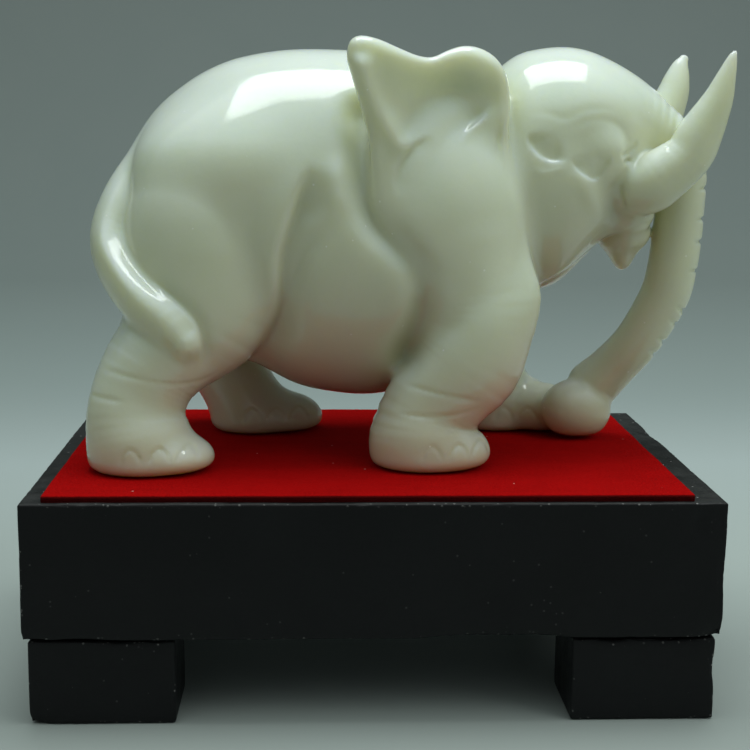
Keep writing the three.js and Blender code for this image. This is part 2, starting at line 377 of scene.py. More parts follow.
# The ear's outline on the side view, from its back top corner forwards and round.
EAR_OUTLINE = [
    (-8.2, 121.5), (-7.4, 126), (-4.3, 127.7), (1, 126.8), (7, 124.5), (12.5, 122.6), (17, 122.3),
    (21.3, 124.2), (25.4, 125.6), (29.6, 125.7), (34, 124.2), (37.6, 121.2), (40.2, 116), (41, 108),
    (40.5, 98), (40.9, 88), (43, 76.5), (46.3, 63.5), (49.4, 52), (43, 42), (31, 46), (20, 54.5),
    (10.2, 65), (3.4, 72.2), (-0.2, 79), (-0.9, 88), (-1.5, 98), (-4.2, 108), (-7, 117),
]
EAR_RIDGE = [(-5, 124), (-3.3, 116), (-0.3, 109), (3.6, 102.7), (7.8, 96.8), (10, 93)]
EAR_FOLD = [
    (35, 109), (31.4, 104.9), (27.3, 101.4), (24.8, 97.8), (23.7, 92.8), (23.2, 86.7), (23.3, 81.6),
    (25, 75.5), (27.9, 69.4), (30.6, 63.2), (34.4, 55.7),
]
EAR_LOBE = [(18, 99.5), (11.4, 95.8), (7.9, 90.7), (7, 85.6), (8, 80.6)]
EAR_SEAM = [(26.3, 101.4), (23.3, 97.3), (21.7, 91.8), (20.7, 85.7), (20.6, 80.6), (21.3, 74.5)]
EAR_FRONT_FLUTE = [(38.2, 107), (37.4, 96.9), (37.3, 89.8), (37.4, 82.6), (37.8, 72)]
# Hollows at the top of the ear: place, spread, depth, turn in radians.
BOWL = [
    ((23, 112.5), (12, 6), 3.6, -0.1),
    ((12.5, 108.5), (9, 7.5), 3.4, 0.0),
    ((10, 101.5), (4, 7), 1.6, -0.5),
]
NECK_GROOVE = [
    (-7, 114), (-4, 104), (-3.6, 93), (-2.4, 81), (1, 73.8), (7, 68.2), (12.4, 62.5),
    (14.9, 56), (14.9, 49), (13, 41.5), (10, 34), (6, 27),
]
SHOULDER_ARC = [(-9.6, 95), (-11, 88.4), (-10, 81), (-7, 75)]
THIGH_GROOVE = [
    (-17, 92), (-20, 83), (-23, 74), (-25.8, 64), (-26.3, 54), (-28, 45), (-31.5, 37.5), (-37, 31),
]
BELLY_VALLEY = [(-11, 76), (-16.5, 70), (-20.6, 63.5), (-23, 56), (-24, 49)]
# Fine lines round the legs: side, curve, depth.
LEG_CREASES = [
    (NEAR, [(-82, 31.6), (-68, 28.8), (-59, 27), (-51, 27.3), (-45, 30)], 0.35),
    (NEAR, [(-86, 23.2), (-79, 22.7), (-72, 22.2)], 0.3),
    (NEAR, [(8.5, 26.6), (18, 24.7), (25, 23.3), (34, 21.4)], 0.4),
    (NEAR, [(5, 17.9), (14, 17.4), (24, 17.8), (33, 20)], 0.35),
    (FAR, [(-64, 25), (-50, 22.5), (-38, 23.5), (-30, 26)], 0.35),
    (FAR, [(26, 27), (38, 23.5), (48, 22), (58, 23)], 0.35),
]
NAILS = {  # the x of each nail's middle
    NEAR: (-70.8, -62.6, -54.6, 17.6, 25.6, 32.6),
    FAR: (-38, -30, -22.5, 47, 55, 61.5),
}
NAIL_WIDE, NAIL_HIGH, NAIL_FOOT = 3.4, 8.6, 1.2
SOLE_ROUNDING = 3.5
THROAT_EDGE = [(50, 50), (56, 54.2), (63, 59), (69.5, 63.6), (73.5, 66)]
MOUTH = [(72.6, 65.4), (76.7, 68.5), (81.4, 71.2), (86.2, 72.8), (91, 73)]
EYE = (66.6, 93.9)
EYE_LID = [(59.4, 93.6), (61.6, 90.4), (64.4, 88.2), (66.9, 87.2), (69, 88.4), (71.4, 91.6), (72.4, 95)]
TEMPLE = [(47, 101), (48.2, 97), (51, 94), (54.6, 92.8), (59, 93.4)]
TEMPLE_RIM = [(47.6, 90.4), (50.8, 88.9), (54.4, 89.3), (58.6, 91.2)]
BROW_LINES = [
    [(58, 100.5), (62, 103), (66.5, 104.6), (71, 104.6), (75.5, 102.6), (79, 99)],
    [(46, 106), (52, 106.5), (58, 105), (64, 107.4), (71, 107.8), (77, 105.6)],
]
CHEEK_RIDGE = [(60.6, 91), (63.7, 86.5), (67.6, 80.5), (71.1, 74.5)]
MUZZLE_HOLLOW = [(73.6, 91), (72.8, 85), (73.9, 79), (76.5, 73.5)]
TUSK_SLITS = [
    [(82, 99), (80.4, 96.3), (78, 94.8), (74.8, 93.9)],
    [(80, 92.9), (76.5, 92)],
    [(76.4, 86), (77.4, 81), (79, 77.6)],
]


def closed_outline(p, points, reach):
    """Signed distance on the side view to a closed smooth outline, negative inside."""
    loop = np.asarray(points, float)
    around = np.vstack([loop[-1], loop, loop[0], loop[1]])
    rows = smooth_line(around, 3)[3:-3]
    x, z = p[:, 0], p[:, 2]
    value = np.full(len(p), FAR_AWAY)
    low, high = rows.min(0) - reach, rows.max(0) + reach
    chosen = np.flatnonzero((x > low[0]) & (x < high[0]) & (z > low[1]) & (z < high[1]))
    x, z = x[chosen], z[chosen]
    best = np.full(len(chosen), 1e9)
    inside = np.zeros(len(chosen), bool)
    for (x0, z0), (x1, z1) in zip(rows[:-1], rows[1:]):
        dx, dz = x1 - x0, z1 - z0
        t = np.clip(((x - x0) * dx + (z - z0) * dz) / (dx * dx + dz * dz), 0, 1)
        best = np.minimum(best, (x - x0 - t * dx) ** 2 + (z - z0 - t * dz) ** 2)
        crosses = (z0 > z) != (z1 > z)
        if dz:
            inside ^= crosses & (x < x0 + (z - z0) * dx / dz)
    value[chosen] = np.sqrt(best) * np.where(inside, -1, 1)
    return value


def bump2d(x, z, cx, cz, rx, rz, turn=0.0):
    """A soft mound of height 1 on the side view."""
    c, s = math.cos(turn), math.sin(turn)
    u = ((x - cx) * c + (z - cz) * s) / rx
    v = (-(x - cx) * s + (z - cz) * c) / rz
    return np.exp(-(u * u + v * v))


def mound(value, p, centre, radii, height, turn=0.0):
    """Raises (or with a negative height hollows) a soft patch of the flank."""
    value -= (height * bump2d(p[:, 0], p[:, 2], *centre, *radii, turn)).astype(np.float32)
    return value


def ear(p, side):
    """A thick flap: the outline on the side view, between an outer and an inner face."""
    outline = closed_outline(p, EAR_OUTLINE, 14)
    value = np.full(len(p), FAR_AWAY, np.float32)
    chosen = np.flatnonzero((outline < 14) & (side * p[:, 1] > 4))
    if not len(chosen):
        return value
    near = p[chosen]
    x, z, out = near[:, 0], near[:, 2], side * near[:, 1]
    flare = smoothstep(40, -10, x)
    high = smoothstep(84, 124, z)
    face = 34.5 + 11.5 * flare + 4.5 * high * flare - 1.5 * high + 3.5 * smoothstep(78, 45, z)
    relief = np.zeros(len(near), np.float32)
    for place, spread, deep, turn in BOWL:
        relief = mound(relief, near, place, spread, -deep, turn)
    relief = mound(relief, near, (31, 118), (7, 6), 1.6)
    relief = mound(relief, near, (14, 84), (13, 15), 1.6)
    relief = carve(relief, near, EAR_RIDGE, -2.2, 3.4, 3.0, ends=0.15)
    relief = carve(relief, near, EAR_FOLD, 2.2, 0.6, 4.4, ends=0.15)
    relief = carve(relief, near, EAR_FOLD, -0.9, 2.0, 0.5, ends=0.15)
    relief = carve(relief, near, EAR_LOBE, 1.3, 3.4, 0.9, ends=0.25)
    relief = carve(relief, near, EAR_SEAM, -0.7, 0.5, 1.2, ends=0.25)
    relief = carve(relief, near, EAR_FRONT_FLUTE, 1.1, 0.8, 1.2, ends=0.25)
    thickness = 10 + 13 * smoothstep(100, 62, z) + 5 * smoothstep(16, 44, x)
    face -= relief
    slab = np.maximum(out - face, (face - thickness) - out)
    edge = outline[chosen]
    rounding = 3.4
    h = np.maximum(slab + rounding, 0) ** 2 + np.maximum(edge + rounding, 0) ** 2
    value[chosen] = np.sqrt(h) + np.minimum(np.maximum(slab, edge) + rounding, 0) - rounding
    return value


def trunk_notches(value, p):
    """Fine grooves across the front of the trunk."""
    line = [(x, z) for x, _, z, _, _ in TRUNK]
    chosen, signed, share = stroke(p, line, 14)
    front = smoothstep(2.5, 6.5, signed)
    for place in TRUNK_NOTCHES:
        groove = 0.95 * np.exp(-(((share - place) / 0.006) ** 2))
        value[chosen] += (groove * front).astype(np.float32)
    return value


def trunk_form(p):
    value = limb(p, TRUNK, reach=20)
    value = trunk_notches(value, p)
    value = join(value, lump(p, (70.4, 8.5, 9.4), (11.6, 9, 10.4)), 1.6)
    value = carve(value, p, KNOB_RIM, 0.7, 0.8, 1.6, NEAR, ends=0.2)
    return value


def skull(p):
    """The head's broad masses, before the face is cut into them."""
    value = hull(p, HEAD, NAPE, BRIDGE)
    value = join(value, trunk_form(p), 3)
    for side in (NEAR, FAR):
        value = join(value, lump(p, (81.5, side * 9, 76.5), (8.8, 8.5, 8.5)), 6)
    value = join(value, lump(p, (82.6, 0, 68.8), (8.6, 11.5, 6.8), -0.2), 2.5)
    value = join(value, lump(p, (82.4, 0, 61.6), (3.2, 5.5, 4.6)), 4.5)
    return value


def skin(field, x, z, side):
    """How far out the field's surface lies at a place on the side view."""
    out = np.linspace(60, 0, 481)
    line = np.stack([np.full(481, x), side * out, np.full(481, z)], axis=1).astype(np.float32)
    return float(out[np.argmax(field(line) < 0)])


def face_cuts(value, p):
    value = mound(value, p, (66, 97), (15, 9), -1.7)
    value = carve(value, p, TEMPLE, 1.0, 4.6, 0.7, ends=0.25)
    value = carve(value, p, TEMPLE_RIM, -0.2, 0.8, 1.2, ends=0.3)
    value = carve(value, p, MUZZLE_HOLLOW, 1.4, 3.2, 4.0, ends=0.35)
    value = carve(value, p, CHEEK_RIDGE, -0.9, 3.0, 3.0, ends=0.4)
    for line in BROW_LINES:
        value = carve(value, p, line, 0.16, 1.6, 1.0, ends=0.3)
    value = carve(value, p, MOUTH, 0.4, 0.6, 1.2, ends=0.25)
    value = carve(value, p, THROAT_EDGE, 0.5, 0.6, 0.6, ends=0.15)
    return value


EYE_OUT = skin(skull, *EYE, FAR)


def head_forms(p):
    value = face_cuts(skull(p), p)
    for side in (NEAR, FAR):
        ball = lump(p, (EYE[0] + 0.6, side * (EYE_OUT - 7.6), EYE[1]), (11, 6.1, 11))
        value = join(value, ball, 1.5)
    value = carve(value, p, EYE_LID, 0.85, 3.4, 0.5, ends=0.2)
    return value


def body_form(p):
    value = hull(p, TORSO, RUMP, CHEST, 24)
    z = p[:, 2]
    for side in (NEAR, FAR):
        haunch = lump(p, (-51.5, side * 25, 63), (25, 21.5, 38), 0.05, reach=30)
        fillet = 3.5 + 14 * smoothstep(72, 98, z)
        value = join(value, haunch, fillet)
        value = join(value, limb(p, REAR_LEG[side]), 5)
        shoulder = lump(p, (26, side * 25, 66), (22, 20, 36), 0, reach=26)
        value = join(value, shoulder, 12)
        value = join(value, limb(p, FRONT_LEG[side]), 5)
    for centre, radii in TOES:
        value = join(value, lump(p, centre, radii), 3)
    value = carve(value, p, THIGH_GROOVE, 4.0, 6.5, 2.0, ends=0.25)
    value = carve(value, p, BELLY_VALLEY, 0.9, 3, 2.2, ends=0.4)
    value = carve(value, p, SHOULDER_ARC, -0.9, 2.5, 4, ends=0.4)
    value = carve(value, p, NECK_GROOVE, 4.0, 4.0, 4.6, ends=0.12)
    for side, line, depth in LEG_CREASES:
        value = carve(value, p, line, depth, 0.5, 0.8, side, ends=0.3)
    return value


def nail_cuts(value, p):
    angles = np.radians([-160, -130, -90, -50, -20])
    for side, middles in NAILS.items():
        for middle in middles:
            arc = [
                (middle + NAIL_WIDE * math.cos(a), NAIL_FOOT - (NAIL_HIGH - NAIL_FOOT) * math.sin(a))
                for a in angles
            ]
            value = carve(value, p, arc, 0.38, 0.5, 0.5, side, ends=0.2)
    return value


def tail_form(p):
    value = limb(p, TAIL, power=1.7)
    return carve(value, p, TAIL_CREST, -1.3, 2.6, 5, NEAR, ends=0.3)


def tail_edge_cut(value, p):
    """The crisp line where the tail's tuft lies on the thigh."""
    return carve(value, p, TAIL_EDGE, 1.3, 2.6, 0.8, NEAR, ends=0.25)


def elephant_field(p):
    value = body_form(p)
    value = nail_cuts(value, p)
    value = join(value, head_forms(p), 5)
    ear_fillet = 2.6 + 7 * smoothstep(72, 48, p[:, 2])
    for side in (NEAR, FAR):
        value = join(value, ear(p, side), ear_fillet)
        value = join(value, limb(p, TUSK[side]), 1.0 + 2.4 * smoothstep(92, 81, p[:, 0]))
    for line in TUSK_SLITS:
        value = carve(value, p, line, 0.7, 0.6, 0.8, ends=0.25)
    value = tail_edge_cut(join(value, tail_form(p), 2.2), p)
    return -join(-value, p[:, 2], SOLE_ROUNDING)


# ---- From field to mesh ----

LEVELS = 2  # halvings of the grid on the way to its final step
BAND = 1.9  # grid steps to each side of the surface that the next halving works out again
POINTS_AT_ONCE = 400000


def doubled(grid, shape):
    """The grid with each sample repeated along every axis, cut to shape."""
    for axis in range(3):
        grid = np.repeat(grid, 2, axis)
    return grid[: shape[0], : shape[1], : shape[2]].copy()


def sampled_field(field, low, high, step):
    """The field on a grid, worked out coarsely first and then only near the surface."""
    coarse = step * 2**LEVELS
    count = np.ceil((np.asarray(high) - low) / coarse).astype(int)
    spacing, grid, band = coarse, None, None
    for level in range(LEVELS + 1):
        shape = count * 2**level + 1
        axes = [low[k] + spacing * np.arange(shape[k]) for k in range(3)]
        if grid is None:
            wanted = np.ones(shape, bool)
            finer = np.zeros(shape, np.float32)
        else:
            finer = doubled(grid, shape)
            wanted = doubled(band, shape)
        i, j, k = np.nonzero(wanted)
        points = np.stack([axes[0][i], axes[1][j], axes[2][k]], axis=1).astype(np.float32)
        parts = np.array_split(points, len(points) // POINTS_AT_ONCE + 1)
        finer[i, j, k] = np.concatenate([field(part) for part in parts])
        grid = finer
        band = np.abs(grid) < BAND * spacing
        spacing /= 2
    return grid, spacing * 2


CORNERS = np.array([(i, j, k) for i in (0, 1) for j in (0, 1) for k in (0, 1)])


def surface_nets(grid, low, step):
    """Quads through the cells that the surface crosses."""
    inside = grid < 0
    cells = tuple(s - 1 for s in grid.shape)
    total = sum(
        inside[i : i + cells[0], j : j + cells[1], k : k + cells[2]].astype(np.int8) for i, j, k in CORNERS
    )
    active = np.argwhere((total > 0) & (total < 8))
    index = np.full(cells, -1, np.int32)
    index[tuple(active.T)] = np.arange(len(active))
    corner_values = np.stack([grid[tuple((active + c).T)] for c in CORNERS], axis=1)
    summed = np.zeros((len(active), 3))
    hits = np.zeros(len(active))
    for a in range(8):
        for b in range(a + 1, 8):
            if np.abs(CORNERS[a] - CORNERS[b]).sum() != 1:
                continue
            fa, fb = corner_values[:, a], corner_values[:, b]
            cut = (fa < 0) != (fb < 0)
            t = fa[cut] / (fa[cut] - fb[cut])
            summed[cut] += CORNERS[a] + (CORNERS[b] - CORNERS[a]) * t[:, None]
            hits[cut] += 1
    points = np.asarray(low) + step * (active + summed / hits[:, None])
    quads = []
    for axis in range(3):
        u, v = (axis + 1) % 3, (axis + 2) % 3
        a = [slice(1, -1)] * 3
        b = [slice(1, -1)] * 3
        a[axis], b[axis] = slice(0, -1), slice(1, None)
        first, second = inside[tuple(a)], inside[tuple(b)]
        where = np.argwhere(first != second) + 1
        where[:, axis] -= 1
        out_facing = first[first != second]
        corners = []
        for du, dv in ((-1, -1), (0, -1), (0, 0), (-1, 0)):
            at = where.copy()
            at[:, u] += du
            at[:, v] += dv
            corners.append(index[tuple(at.T)])
        quad = np.stack(corners, axis=1)
        quad[~out_facing] = quad[~out_facing][:, ::-1]
        quads.append(quad)
    return points, np.concatenate(quads)


def gradient(field, points, h=0.25):
    columns = []
    for k in range(3):
        offset = np.zeros(3, np.float32)
        offset[k] = h
        columns.append((field(points + offset) - field(points - offset)) / (2 * h))
    return np.stack(columns, axis=1)


def settle(field, points, rounds=2):
    """Moves points onto the surface along the field's slope."""
    for _ in range(rounds):
        slope = gradient(field, points)
        steep = np.maximum((slope**2).sum(1), 0.05)
        move = slope * (np.clip(field(points), -0.5, 0.5) / steep)[:, None]
        points = points - np.clip(move, -0.5, 0.5)
    return points


def mesh_object(name, points, faces, material):
    mesh = bpy.data.meshes.new(name)
    mesh.from_pydata([tuple(p) for p in points], [], [tuple(f) for f in faces])
    mesh.update()
    mesh.polygons.foreach_set("use_smooth", [True] * len(mesh.polygons))
    mesh.materials.append(material)
    obj = bpy.data.objects.new(name, mesh)
    bpy.context.scene.collection.objects.link(obj)
    return obj


def stand_in(obj, body, node):
    """Rides the piece on its body in place of a CAD node."""
    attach(obj, body)
    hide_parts(node)


SCULPT_LOW, SCULPT_HIGH = np.array([-96.0, -60.0, -3.0]), np.array([114.0, 60.0, 132.0])


def sculpt_elephant(material):
    low = SCULPT_LOW
    grid, step = sampled_field(elephant_field, low, SCULPT_HIGH, GRID_STEP)
    points, quads = surface_nets(grid, low, step)
    points = settle(elephant_field, points.astype(np.float32), 2)
    points[:, 2] = np.maximum(points[:, 2], 0)
    world = points * MM + np.array(SOLE_ORIGIN)
    obj = mesh_object("elephant", world, quads, material)
    stand_in(obj, "carving", "elephant_carving")


# ---- The stand's pieces ----

def edge_crowded(low, high, spacing, crowd, fine):
    """Coordinates from low to high: fine steps within crowd of each end, wide ones between."""
    ends = np.arange(0, crowd, fine)
    middle_count = max(2, int(round((high - low - 2 * crowd) / spacing)))
    middle = np.linspace(low + crowd, high - crowd, middle_count + 1)
    return np.concatenate([low + ends, middle, (high - ends)[::-1]])


def box_skin(low, high, spacing, crowd, fine):
    """The six faces of a box as one closed grid of quads, crowded towards the edges."""
    axes = [edge_crowded(low[k], high[k], spacing, crowd, fine) for k in range(3)]
    size = [len(a) for a in axes]
    index, points, quads = {}, [], []

    def vertex(at):
        if at not in index:
            index[at] = len(points)
            points.append([axes[k][at[k]] for k in range(3)])
        return index[at]

    for k in range(3):
        u, v = (k + 1) % 3, (k + 2) % 3
        for end in (0, size[k] - 1):
            for i in range(size[u] - 1):
                for j in range(size[v] - 1):
                    corners = []
                    for du, dv in ((0, 0), (1, 0), (1, 1), (0, 1)):
                        at = [0, 0, 0]
                        at[k], at[u], at[v] = end, i + du, j + dv
                        corners.append(vertex(tuple(at)))
                    quads.append(corners if end else corners[::-1])
    return np.array(points), quads


def noise_at(points, size, seed=0.0):
    """Smooth noise, about -1 to 1, with features of the given size."""
    return np.array([noise.noise(Vector(p) / size + Vector((seed, seed, seed))) for p in points])


EDGE_WEAR = 0.9  # mm, radius that handling and paint have given the block's edges
EDGE_WAVE = 0.22  # mm, how far the sawn faces wander
# Knocked spots on the wood: place from the block's middle (x, y, z), spread, depth.
PLINTH_CHIPS = [
    ((34, -70, -20), (13, 5, 1.6), 1.7),
    ((47, -70, -20), (5, 4, 1.3), 1.3),
    ((22, -70, -20), (6, 4, 1.2), 0.9),
    ((92, -70, 14), (2.2, 4, 4.5), 0.9),
    ((99, -70, -20), (4, 4, 3.5), 1.4),
    ((99, -70, -2), (1.6, 4, 7), 0.5),
    ((-97, -70, -20), (5, 4, 2.2), 0.8),
    ((-84, -70, -20), (6, 4, 1.0), 0.7),
    ((-100, 68, 20), (3, 4, 3), 1.0),
    ((60, 70, -20), (10, 5, 1.8), 1.2),
    ((-20, 70, 20), (5, 4, 1.5), 0.7),
    ((100, 30, 20), (4, 8, 1.6), 0.7),
]
FOOT_CHIPS = {
    "front_left": [((-20, -15, -12), (4, 3, 2), 1.0), ((6, -15, 12), (7, 3, 0.9), 0.7)],
    "front_right": [
        ((-9, -15, 12), (5, 3, 1.1), 1.1),
        ((8, -15, 12), (9, 3, 1.0), 0.9),
        ((21, -15, 3), (1.2, 3, 4), 0.8),
    ],
    "back_left": [((20, 15, -12), (3, 3, 2), 0.9)],
    "back_right": [((-21, 15, 10), (2, 3, 4), 0.8)],
}


def block_surface(points, low, high, chips):
    """Rounds, wanders and chips the points of a box's skin, in millimetres."""
    middle = (low + high) / 2
    inner = np.clip(points, low + EDGE_WEAR, high - EDGE_WEAR)
    outward = points - inner
    reach = np.linalg.norm(outward, axis=1)[:, None]
    outward = outward / reach
    rounded = inner + outward * EDGE_WEAR
    wander = EDGE_WAVE * noise_at(rounded, 38, 4.0) + 0.07 * noise_at(rounded, 7, 9.0)
    near_edge = smoothstep(1.0, 1.35, np.abs(outward).sum(axis=1))
    nicks = np.maximum(noise_at(rounded, 2.6, 2.0) - 0.28, 0) * 1.1 * near_edge
    depth = nicks + EDGE_WAVE - wander
    ragged = 1 + 0.5 * noise_at(rounded, 1.7, 6.0)
    for place, spread, deep in chips:
        away = (rounded - middle - np.array(place)) / np.array(spread)
        depth = depth + deep * ragged * np.exp(-(away**2).sum(axis=1))
    return rounded - outward * depth[:, None]


def wooden_piece(name, node, points, quads, material):
    obj = mesh_object(name, points * MM, quads, material)
    stand_in(obj, "stand", node)


def plinth_piece(material):
    low, high = np.array(PLINTH_LOW) / MM, np.array(PLINTH_HIGH) / MM
    points, quads = box_skin(low, high, 1.3, 3.0, 0.4)
    points = block_surface(points, low, high, PLINTH_CHIPS)
    wooden_piece("plinth", "plinth_block", points, quads, material)


SINK_RADIUS, SINK_STEP, SINK_DEPTH = 4.4, 0.6, 3.2  # mm, of the countersunk hole round each screw's head


def foot_piece(corner, material):
    """A block with two countersunk holes in its underside."""
    low, high = (np.array(v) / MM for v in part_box("foot_" + corner))
    points, quads = box_skin(low, high, 0.8, 2.0, 0.4)
    underside = points[:, 2] == low[2]
    shaped = block_surface(points, low, high, FOOT_CHIPS[corner])
    for place in ("outer", "inner"):
        screw_low, screw_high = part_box("foot_screw_" + corner + "_" + place)
        axis = np.array((screw_low + screw_high) / 2)[:2] / MM
        arm = shaped[:, :2] - axis
        away = np.maximum(np.linalg.norm(arm, axis=1), 1e-6)
        rim = underside & (np.abs(away - SINK_RADIUS) < 0.42)
        shaped[rim, :2] = axis + arm[rim] / away[rim][:, None] * SINK_RADIUS
        inside = underside & ~rim & (away < SINK_RADIUS)
        slope = (SINK_RADIUS - away[inside]) / SINK_RADIUS
        shaped[inside, 2] = low[2] + np.minimum(SINK_STEP + 2 * SINK_DEPTH * slope, SINK_DEPTH)
    wooden_piece("foot_block_" + corner, "foot_" + corner, shaped, quads, material)


VELVET_ROUND = 0.55  # mm, radius where the cloth turns down over the board's edge
CUT_WAVE = 0.45  # mm, how far the hand-cut edge wanders in from a straight line
CUT_REACH = 6  # mm from the edge over which that wander fades out
BOARD_GAP = 0.05  # mm between the cloth and the board


def cut_edge(cloth, low, high):
    """Draws the cloth's edges in along a wandering line."""
    middle, half = (low + high) / 2, (high - low) / 2
    wave = CUT_WAVE * (0.5 + 0.5 * noise_at(cloth * (1, 1, 0), 19, 3.0))
    wave += 0.1 * (1 + noise_at(cloth * (1, 1, 0), 2.2, 5.0))
    rims = [np.maximum(np.abs(cloth[:, k] - middle[k]) - half[k] + CUT_REACH, 0) / CUT_REACH for k in (0, 1)]
    for k in (0, 1):
        cloth[:, k] -= np.sign(cloth[:, k] - middle[k]) * wave * rims[k] ** 2


def velvet_piece(material):
    """The cloth: a napped top that turns down over the board's edge and stops on the wood."""
    low, high = (np.array(v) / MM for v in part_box("velvet_sheet"))
    points, quads = box_skin(low, high, 1.25, 2.4, 0.4)
    inner_low = low + (VELVET_ROUND, VELVET_ROUND, 0)
    inner_high = high - VELVET_ROUND
    inner = np.clip(points, inner_low, inner_high)
    outward = points - inner
    reach = np.maximum(np.linalg.norm(outward, axis=1)[:, None], 1e-6)
    cloth = inner + outward / reach * np.minimum(VELVET_ROUND, reach)
    cut_edge(cloth, low, high)
    top = smoothstep((low[2] + high[2]) / 2 - 0.2, high[2], cloth[:, 2])
    nap = 0.06 * noise_at(cloth, 0.9, 1.0) + 0.05 * noise_at(cloth, 6, 8.0)
    cloth[:, 2] += (nap - 0.1) * top
    board_low, board_high = (np.array(v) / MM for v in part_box("pad_board"))
    off_middle = np.abs(points - (board_low + board_high) / 2)
    over_board = (off_middle < (board_high - board_low) / 2 + 0.2)[:, :2].all(axis=1)
    cloth[over_board & (points[:, 2] == low[2]), 2] = board_high[2] + BOARD_GAP
    obj = mesh_object("velvet_pad", cloth * MM, quads, material)
    stand_in(obj, "stand", "velvet_sheet")


# ---- Materials ----

class Shader:
    """A node material under construction: short calls that add a node and wire it."""

    def __init__(self, name):
        self.material = bpy.data.materials.new(name)
        self.material.use_nodes = True
        self.tree = self.material.node_tree
        self.surface = self.tree.nodes["Principled BSDF"]
        self.place = self.tree.nodes.new("ShaderNodeTexCoord").outputs["Object"]

    def link(self, source, target):
        if hasattr(source, "is_output"):
            self.tree.links.new(source, target)
        else:
            target.default_value = source

    def set(self, **inputs):
        for name, value in inputs.items():
            self.link(value, self.surface.inputs[name.replace("_", " ")])

    def noise(self, scale, detail=2.0, rough=0.5, warp=0.0, stretch=None):
        node = self.tree.nodes.new("ShaderNodeTexNoise")
        node.inputs["Scale"].default_value = scale
        node.inputs["Detail"].default_value = detail
        node.inputs["Roughness"].default_value = rough
        node.inputs["Distortion"].default_value = warp
        self.link(self.stretched(stretch), node.inputs["Vector"])
        return node.outputs["Fac"]

    def stretched(self, stretch):
        if stretch is None:
            return self.place
        node = self.tree.nodes.new("ShaderNodeMapping")
        node.inputs["Scale"].default_value = stretch
        self.link(self.place, node.inputs["Vector"])
        return node.outputs["Vector"]

    def specks(self, scale, radius, share, stretch=None):
        """1 inside sparse dots: cells of 1 / scale metres, of which a share holds a dot of that radius."""
        node = self.tree.nodes.new("ShaderNodeTexVoronoi")
        node.inputs["Scale"].default_value = scale
        self.link(self.stretched(stretch), node.inputs["Vector"])
        dot = self.math("LESS_THAN", node.outputs["Distance"], radius)
        pick = self.tree.nodes.new("ShaderNodeSeparateColor")
        self.link(node.outputs["Color"], pick.inputs["Color"])
        chosen = self.math("LESS_THAN", pick.outputs["Red"], share)
        return self.math("MULTIPLY", dot, chosen)

    def math(self, operation, a, b=0.0, clamp=False):
        node = self.tree.nodes.new("ShaderNodeMath")
        node.operation = operation
        node.use_clamp = clamp
        self.link(a, node.inputs[0])
        self.link(b, node.inputs[1])
        return node.outputs[0]

    def ramp(self, value, stops):
        node = self.tree.nodes.new("ShaderNodeValToRGB")
        elements = node.color_ramp.elements
        while len(elements) < len(stops):
            elements.new(0.5)
        for element, (at, colour) in zip(elements, stops):
            element.position = at
            element.color = (*colour, 1) if isinstance(colour, tuple) else (colour, colour, colour, 1)
        self.link(value, node.inputs["Fac"])
        return node.outputs["Color"]

    def mix(self, share, a, b):
        node = self.tree.nodes.new("ShaderNodeMix")
        node.data_type = "RGBA"
        self.link(share, node.inputs[0])
        for value, slot in ((a, 6), (b, 7)):
            self.link((*value, 1) if isinstance(value, tuple) else value, node.inputs[slot])
        return node.outputs[2]

    def part(self, vector, axis):
        split = self.tree.nodes.new("ShaderNodeSeparateXYZ")
        self.link(vector, split.inputs[0])
        return split.outputs[axis]

    def upward(self):
        """The z part of the surface's normal."""
        return self.part(self.tree.nodes.new("ShaderNodeNewGeometry").outputs["Normal"], "Z")

    def height(self):
        """Metres above the table, before any pose."""
        return self.part(self.place, "Z")

    def openness(self, distance):
        """1 where nothing is near the surface, falling towards 0 in grooves and corners."""
        node = self.tree.nodes.new("ShaderNodeAmbientOcclusion")
        node.samples = 6
        node.inputs["Distance"].default_value = distance
        return node.outputs["AO"]

    def bump(self, height, depth, strength=1.0, under=None):
        node = self.tree.nodes.new("ShaderNodeBump")
        node.inputs["Strength"].default_value = strength
        node.inputs["Distance"].default_value = depth
        self.link(height, node.inputs["Height"])
        if under is not None:
            self.link(under, node.inputs["Normal"])
        self.link(node.outputs["Normal"], self.surface.inputs["Normal"])
        return node.outputs["Normal"]


